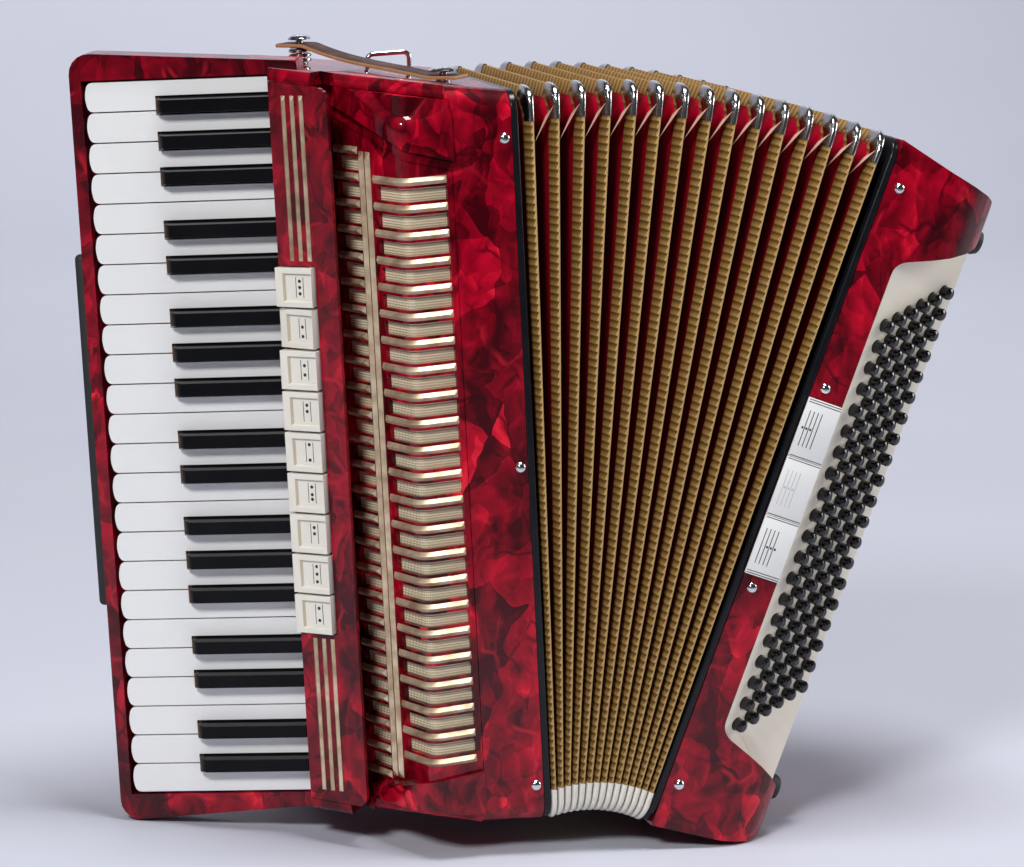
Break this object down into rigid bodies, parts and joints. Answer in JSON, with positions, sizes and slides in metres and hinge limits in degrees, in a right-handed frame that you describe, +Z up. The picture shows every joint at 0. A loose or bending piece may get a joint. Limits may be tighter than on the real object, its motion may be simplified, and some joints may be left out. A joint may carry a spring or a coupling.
{
  "type": "piano accordion",
  "caption": "Piano accordion standing with its bellows fanned open: piano keyboard, gilt grille, register switches and a slanted board of bass buttons.",
  "frame": {"origin": "centre of the footprint on the surface that the instrument stands on, with the bellows fanned open", "axes": "+X from the keyboard towards the bass side, +Y from the front grille towards the player's back wall, +Z up"},
  "size_m": [0.6025, 0.1983, 0.517],
  "materials": {
    "red_celluloid": "pearl gloss",
    "ivory": "gloss",
    "black_key": "gloss",
    "gilt": "polished",
    "gilt_mesh": "satin",
    "chrome": "polished",
    "rubber": "matt",
    "leather": "smooth",
    "reed_wood": "bare",
    "black_lacquer": "gloss lacquer",
    "bellows_card": "cloth and leather covered card",
    "cream_board": "satin"
  },
  "bodies": {
    "treble": {"treble_case": "red_celluloid", "keyboard_frame": "red_celluloid", "grille_cover": "red_celluloid", "grille_bars": "gilt", "grille_mesh": "gilt_mesh", "treble_hardware": "chrome", "leg_rest_pad": "rubber", "bellows_strap": "leather", "treble_reed_blocks": "reed_wood", "treble_bellows_frame": "black_lacquer", "bellows_folds": "bellows_card", "bellows_corners": "chrome"},
    "bass": {"bass_bellows_frame": "black_lacquer", "bass_case": "red_celluloid", "bass_button_board": "cream_board", "bass_fittings": "rubber"},
    "treble_switches": {"treble_switches": "ivory"},
    "bass_buttons": {"bass_buttons": "black_key"},
    "bass_switches": {"bass_switches": "ivory"},
    "key_01_f": {"key_01_f": "ivory"},
    "key_02_fs": {"key_02_fs": "black_key"},
    "key_03_g": {"key_03_g": "ivory"},
    "key_04_gs": {"key_04_gs": "black_key"},
    "key_05_a": {"key_05_a": "ivory"},
    "key_06_as": {"key_06_as": "black_key"},
    "key_07_b": {"key_07_b": "ivory"},
    "key_08_c": {"key_08_c": "ivory"},
    "key_09_cs": {"key_09_cs": "black_key"},
    "key_10_d": {"key_10_d": "ivory"},
    "key_11_ds": {"key_11_ds": "black_key"},
    "key_12_e": {"key_12_e": "ivory"},
    "key_13_f": {"key_13_f": "ivory"},
    "key_14_fs": {"key_14_fs": "black_key"},
    "key_15_g": {"key_15_g": "ivory"},
    "key_16_gs": {"key_16_gs": "black_key"},
    "key_17_a": {"key_17_a": "ivory"},
    "key_18_as": {"key_18_as": "black_key"},
    "key_19_b": {"key_19_b": "ivory"},
    "key_20_c": {"key_20_c": "ivory"},
    "key_21_cs": {"key_21_cs": "black_key"},
    "key_22_d": {"key_22_d": "ivory"},
    "key_23_ds": {"key_23_ds": "black_key"},
    "key_24_e": {"key_24_e": "ivory"},
    "key_25_f": {"key_25_f": "ivory"},
    "key_26_fs": {"key_26_fs": "black_key"},
    "key_27_g": {"key_27_g": "ivory"},
    "key_28_gs": {"key_28_gs": "black_key"},
    "key_29_a": {"key_29_a": "ivory"},
    "key_30_as": {"key_30_as": "black_key"},
    "key_31_b": {"key_31_b": "ivory"},
    "key_32_c": {"key_32_c": "ivory"},
    "key_33_cs": {"key_33_cs": "black_key"},
    "key_34_d": {"key_34_d": "ivory"},
    "key_35_ds": {"key_35_ds": "black_key"},
    "key_36_e": {"key_36_e": "ivory"},
    "key_37_f": {"key_37_f": "ivory"},
    "key_38_fs": {"key_38_fs": "black_key"},
    "key_39_g": {"key_39_g": "ivory"},
    "key_40_gs": {"key_40_gs": "black_key"},
    "key_41_a": {"key_41_a": "ivory"}
  },
  "joints": [
    {"name": "bellows_fan", "type": "hinge", "parent": "treble", "child": "bass", "pos_m": [0.04046, 0, 0.0064], "axis": [0, 1, 0], "range_deg": [-23.6, 10], "deforming": ["bellows_folds", "bellows_corners"]},
    {"name": "bass_buttons_press", "type": "slide", "parent": "bass", "child": "bass_buttons", "axis": [-0.5029, 0.848, 0.1672], "range_m": [0, 0.0035], "stiffness_N_per_m": 1500, "springref_m": -0.004},
    {"name": "bass_switches_press", "type": "slide", "parent": "bass", "child": "bass_switches", "axis": [0, 1, 0], "range_m": [0, 0.0018]},
    {"name": "coupler_switch_rock", "type": "hinge", "parent": "treble", "child": "treble_switches", "pos_m": [-0.14826, -0.05497, 0.25981], "axis": [0.0908, 0, -0.9959], "range_deg": [0, 6]},
    {"name": "key_01_f_dip", "type": "hinge", "parent": "treble", "child": "key_01_f", "pos_m": [-0.14922, -0.02305, 0.26334], "axis": [0.0908, 0, -0.9959], "range_deg": [0, 2.1], "stiffness_Nm_per_rad": 0.6, "springref_deg": -8.59},
    {"name": "key_02_fs_dip", "type": "hinge", "parent": "treble", "child": "key_02_fs", "pos_m": [-0.14922, -0.02305, 0.26334], "axis": [0.0908, 0, -0.9959], "range_deg": [0, 2.62], "stiffness_Nm_per_rad": 0.6, "springref_deg": -8.59},
    {"name": "key_03_g_dip", "type": "hinge", "parent": "treble", "child": "key_03_g", "pos_m": [-0.14922, -0.02305, 0.26334], "axis": [0.0908, 0, -0.9959], "range_deg": [0, 2.1], "stiffness_Nm_per_rad": 0.6, "springref_deg": -8.59},
    {"name": "key_04_gs_dip", "type": "hinge", "parent": "treble", "child": "key_04_gs", "pos_m": [-0.14922, -0.02305, 0.26334], "axis": [0.0908, 0, -0.9959], "range_deg": [0, 2.62], "stiffness_Nm_per_rad": 0.6, "springref_deg": -8.59},
    {"name": "key_05_a_dip", "type": "hinge", "parent": "treble", "child": "key_05_a", "pos_m": [-0.14922, -0.02305, 0.26334], "axis": [0.0908, 0, -0.9959], "range_deg": [0, 2.1], "stiffness_Nm_per_rad": 0.6, "springref_deg": -8.59},
    {"name": "key_06_as_dip", "type": "hinge", "parent": "treble", "child": "key_06_as", "pos_m": [-0.14922, -0.02305, 0.26334], "axis": [0.0908, 0, -0.9959], "range_deg": [0, 2.62], "stiffness_Nm_per_rad": 0.6, "springref_deg": -8.59},
    {"name": "key_07_b_dip", "type": "hinge", "parent": "treble", "child": "key_07_b", "pos_m": [-0.14922, -0.02305, 0.26334], "axis": [0.0908, 0, -0.9959], "range_deg": [0, 2.1], "stiffness_Nm_per_rad": 0.6, "springref_deg": -8.59},
    {"name": "key_08_c_dip", "type": "hinge", "parent": "treble", "child": "key_08_c", "pos_m": [-0.14922, -0.02305, 0.26334], "axis": [0.0908, 0, -0.9959], "range_deg": [0, 2.1], "stiffness_Nm_per_rad": 0.6, "springref_deg": -8.59},
    {"name": "key_09_cs_dip", "type": "hinge", "parent": "treble", "child": "key_09_cs", "pos_m": [-0.14922, -0.02305, 0.26334], "axis": [0.0908, 0, -0.9959], "range_deg": [0, 2.62], "stiffness_Nm_per_rad": 0.6, "springref_deg": -8.59},
    {"name": "key_10_d_dip", "type": "hinge", "parent": "treble", "child": "key_10_d", "pos_m": [-0.14922, -0.02305, 0.26334], "axis": [0.0908, 0, -0.9959], "range_deg": [0, 2.1], "stiffness_Nm_per_rad": 0.6, "springref_deg": -8.59},
    {"name": "key_11_ds_dip", "type": "hinge", "parent": "treble", "child": "key_11_ds", "pos_m": [-0.14922, -0.02305, 0.26334], "axis": [0.0908, 0, -0.9959], "range_deg": [0, 2.62], "stiffness_Nm_per_rad": 0.6, "springref_deg": -8.59},
    {"name": "key_12_e_dip", "type": "hinge", "parent": "treble", "child": "key_12_e", "pos_m": [-0.14922, -0.02305, 0.26334], "axis": [0.0908, 0, -0.9959], "range_deg": [0, 2.1], "stiffness_Nm_per_rad": 0.6, "springref_deg": -8.59},
    {"name": "key_13_f_dip", "type": "hinge", "parent": "treble", "child": "key_13_f", "pos_m": [-0.14922, -0.02305, 0.26334], "axis": [0.0908, 0, -0.9959], "range_deg": [0, 2.1], "stiffness_Nm_per_rad": 0.6, "springref_deg": -8.59},
    {"name": "key_14_fs_dip", "type": "hinge", "parent": "treble", "child": "key_14_fs", "pos_m": [-0.14922, -0.02305, 0.26334], "axis": [0.0908, 0, -0.9959], "range_deg": [0, 2.62], "stiffness_Nm_per_rad": 0.6, "springref_deg": -8.59},
    {"name": "key_15_g_dip", "type": "hinge", "parent": "treble", "child": "key_15_g", "pos_m": [-0.14922, -0.02305, 0.26334], "axis": [0.0908, 0, -0.9959], "range_deg": [0, 2.1], "stiffness_Nm_per_rad": 0.6, "springref_deg": -8.59},
    {"name": "key_16_gs_dip", "type": "hinge", "parent": "treble", "child": "key_16_gs", "pos_m": [-0.14922, -0.02305, 0.26334], "axis": [0.0908, 0, -0.9959], "range_deg": [0, 2.62], "stiffness_Nm_per_rad": 0.6, "springref_deg": -8.59},
    {"name": "key_17_a_dip", "type": "hinge", "parent": "treble", "child": "key_17_a", "pos_m": [-0.14922, -0.02305, 0.26334], "axis": [0.0908, 0, -0.9959], "range_deg": [0, 2.1], "stiffness_Nm_per_rad": 0.6, "springref_deg": -8.59},
    {"name": "key_18_as_dip", "type": "hinge", "parent": "treble", "child": "key_18_as", "pos_m": [-0.14922, -0.02305, 0.26334], "axis": [0.0908, 0, -0.9959], "range_deg": [0, 2.62], "stiffness_Nm_per_rad": 0.6, "springref_deg": -8.59},
    {"name": "key_19_b_dip", "type": "hinge", "parent": "treble", "child": "key_19_b", "pos_m": [-0.14922, -0.02305, 0.26334], "axis": [0.0908, 0, -0.9959], "range_deg": [0, 2.1], "stiffness_Nm_per_rad": 0.6, "springref_deg": -8.59},
    {"name": "key_20_c_dip", "type": "hinge", "parent": "treble", "child": "key_20_c", "pos_m": [-0.14922, -0.02305, 0.26334], "axis": [0.0908, 0, -0.9959], "range_deg": [0, 2.1], "stiffness_Nm_per_rad": 0.6, "springref_deg": -8.59},
    {"name": "key_21_cs_dip", "type": "hinge", "parent": "treble", "child": "key_21_cs", "pos_m": [-0.14922, -0.02305, 0.26334], "axis": [0.0908, 0, -0.9959], "range_deg": [0, 2.62], "stiffness_Nm_per_rad": 0.6, "springref_deg": -8.59},
    {"name": "key_22_d_dip", "type": "hinge", "parent": "treble", "child": "key_22_d", "pos_m": [-0.14922, -0.02305, 0.26334], "axis": [0.0908, 0, -0.9959], "range_deg": [0, 2.1], "stiffness_Nm_per_rad": 0.6, "springref_deg": -8.59},
    {"name": "key_23_ds_dip", "type": "hinge", "parent": "treble", "child": "key_23_ds", "pos_m": [-0.14922, -0.02305, 0.26334], "axis": [0.0908, 0, -0.9959], "range_deg": [0, 2.62], "stiffness_Nm_per_rad": 0.6, "springref_deg": -8.59},
    {"name": "key_24_e_dip", "type": "hinge", "parent": "treble", "child": "key_24_e", "pos_m": [-0.14922, -0.02305, 0.26334], "axis": [0.0908, 0, -0.9959], "range_deg": [0, 2.1], "stiffness_Nm_per_rad": 0.6, "springref_deg": -8.59},
    {"name": "key_25_f_dip", "type": "hinge", "parent": "treble", "child": "key_25_f", "pos_m": [-0.14922, -0.02305, 0.26334], "axis": [0.0908, 0, -0.9959], "range_deg": [0, 2.1], "stiffness_Nm_per_rad": 0.6, "springref_deg": -8.59},
    {"name": "key_26_fs_dip", "type": "hinge", "parent": "treble", "child": "key_26_fs", "pos_m": [-0.14922, -0.02305, 0.26334], "axis": [0.0908, 0, -0.9959], "range_deg": [0, 2.62], "stiffness_Nm_per_rad": 0.6, "springref_deg": -8.59},
    {"name": "key_27_g_dip", "type": "hinge", "parent": "treble", "child": "key_27_g", "pos_m": [-0.14922, -0.02305, 0.26334], "axis": [0.0908, 0, -0.9959], "range_deg": [0, 2.1], "stiffness_Nm_per_rad": 0.6, "springref_deg": -8.59},
    {"name": "key_28_gs_dip", "type": "hinge", "parent": "treble", "child": "key_28_gs", "pos_m": [-0.14922, -0.02305, 0.26334], "axis": [0.0908, 0, -0.9959], "range_deg": [0, 2.62], "stiffness_Nm_per_rad": 0.6, "springref_deg": -8.59},
    {"name": "key_29_a_dip", "type": "hinge", "parent": "treble", "child": "key_29_a", "pos_m": [-0.14922, -0.02305, 0.26334], "axis": [0.0908, 0, -0.9959], "range_deg": [0, 2.1], "stiffness_Nm_per_rad": 0.6, "springref_deg": -8.59},
    {"name": "key_30_as_dip", "type": "hinge", "parent": "treble", "child": "key_30_as", "pos_m": [-0.14922, -0.02305, 0.26334], "axis": [0.0908, 0, -0.9959], "range_deg": [0, 2.62], "stiffness_Nm_per_rad": 0.6, "springref_deg": -8.59},
    {"name": "key_31_b_dip", "type": "hinge", "parent": "treble", "child": "key_31_b", "pos_m": [-0.14922, -0.02305, 0.26334], "axis": [0.0908, 0, -0.9959], "range_deg": [0, 2.1], "stiffness_Nm_per_rad": 0.6, "springref_deg": -8.59},
    {"name": "key_32_c_dip", "type": "hinge", "parent": "treble", "child": "key_32_c", "pos_m": [-0.14922, -0.02305, 0.26334], "axis": [0.0908, 0, -0.9959], "range_deg": [0, 2.1], "stiffness_Nm_per_rad": 0.6, "springref_deg": -8.59},
    {"name": "key_33_cs_dip", "type": "hinge", "parent": "treble", "child": "key_33_cs", "pos_m": [-0.14922, -0.02305, 0.26334], "axis": [0.0908, 0, -0.9959], "range_deg": [0, 2.62], "stiffness_Nm_per_rad": 0.6, "springref_deg": -8.59},
    {"name": "key_34_d_dip", "type": "hinge", "parent": "treble", "child": "key_34_d", "pos_m": [-0.14922, -0.02305, 0.26334], "axis": [0.0908, 0, -0.9959], "range_deg": [0, 2.1], "stiffness_Nm_per_rad": 0.6, "springref_deg": -8.59},
    {"name": "key_35_ds_dip", "type": "hinge", "parent": "treble", "child": "key_35_ds", "pos_m": [-0.14922, -0.02305, 0.26334], "axis": [0.0908, 0, -0.9959], "range_deg": [0, 2.62], "stiffness_Nm_per_rad": 0.6, "springref_deg": -8.59},
    {"name": "key_36_e_dip", "type": "hinge", "parent": "treble", "child": "key_36_e", "pos_m": [-0.14922, -0.02305, 0.26334], "axis": [0.0908, 0, -0.9959], "range_deg": [0, 2.1], "stiffness_Nm_per_rad": 0.6, "springref_deg": -8.59},
    {"name": "key_37_f_dip", "type": "hinge", "parent": "treble", "child": "key_37_f", "pos_m": [-0.14922, -0.02305, 0.26334], "axis": [0.0908, 0, -0.9959], "range_deg": [0, 2.1], "stiffness_Nm_per_rad": 0.6, "springref_deg": -8.59},
    {"name": "key_38_fs_dip", "type": "hinge", "parent": "treble", "child": "key_38_fs", "pos_m": [-0.14922, -0.02305, 0.26334], "axis": [0.0908, 0, -0.9959], "range_deg": [0, 2.62], "stiffness_Nm_per_rad": 0.6, "springref_deg": -8.59},
    {"name": "key_39_g_dip", "type": "hinge", "parent": "treble", "child": "key_39_g", "pos_m": [-0.14922, -0.02305, 0.26334], "axis": [0.0908, 0, -0.9959], "range_deg": [0, 2.1], "stiffness_Nm_per_rad": 0.6, "springref_deg": -8.59},
    {"name": "key_40_gs_dip", "type": "hinge", "parent": "treble", "child": "key_40_gs", "pos_m": [-0.14922, -0.02305, 0.26334], "axis": [0.0908, 0, -0.9959], "range_deg": [0, 2.62], "stiffness_Nm_per_rad": 0.6, "springref_deg": -8.59},
    {"name": "key_41_a_dip", "type": "hinge", "parent": "treble", "child": "key_41_a", "pos_m": [-0.14922, -0.02305, 0.26334], "axis": [0.0908, 0, -0.9959], "range_deg": [0, 2.1], "stiffness_Nm_per_rad": 0.6, "springref_deg": -8.59}
  ]
}
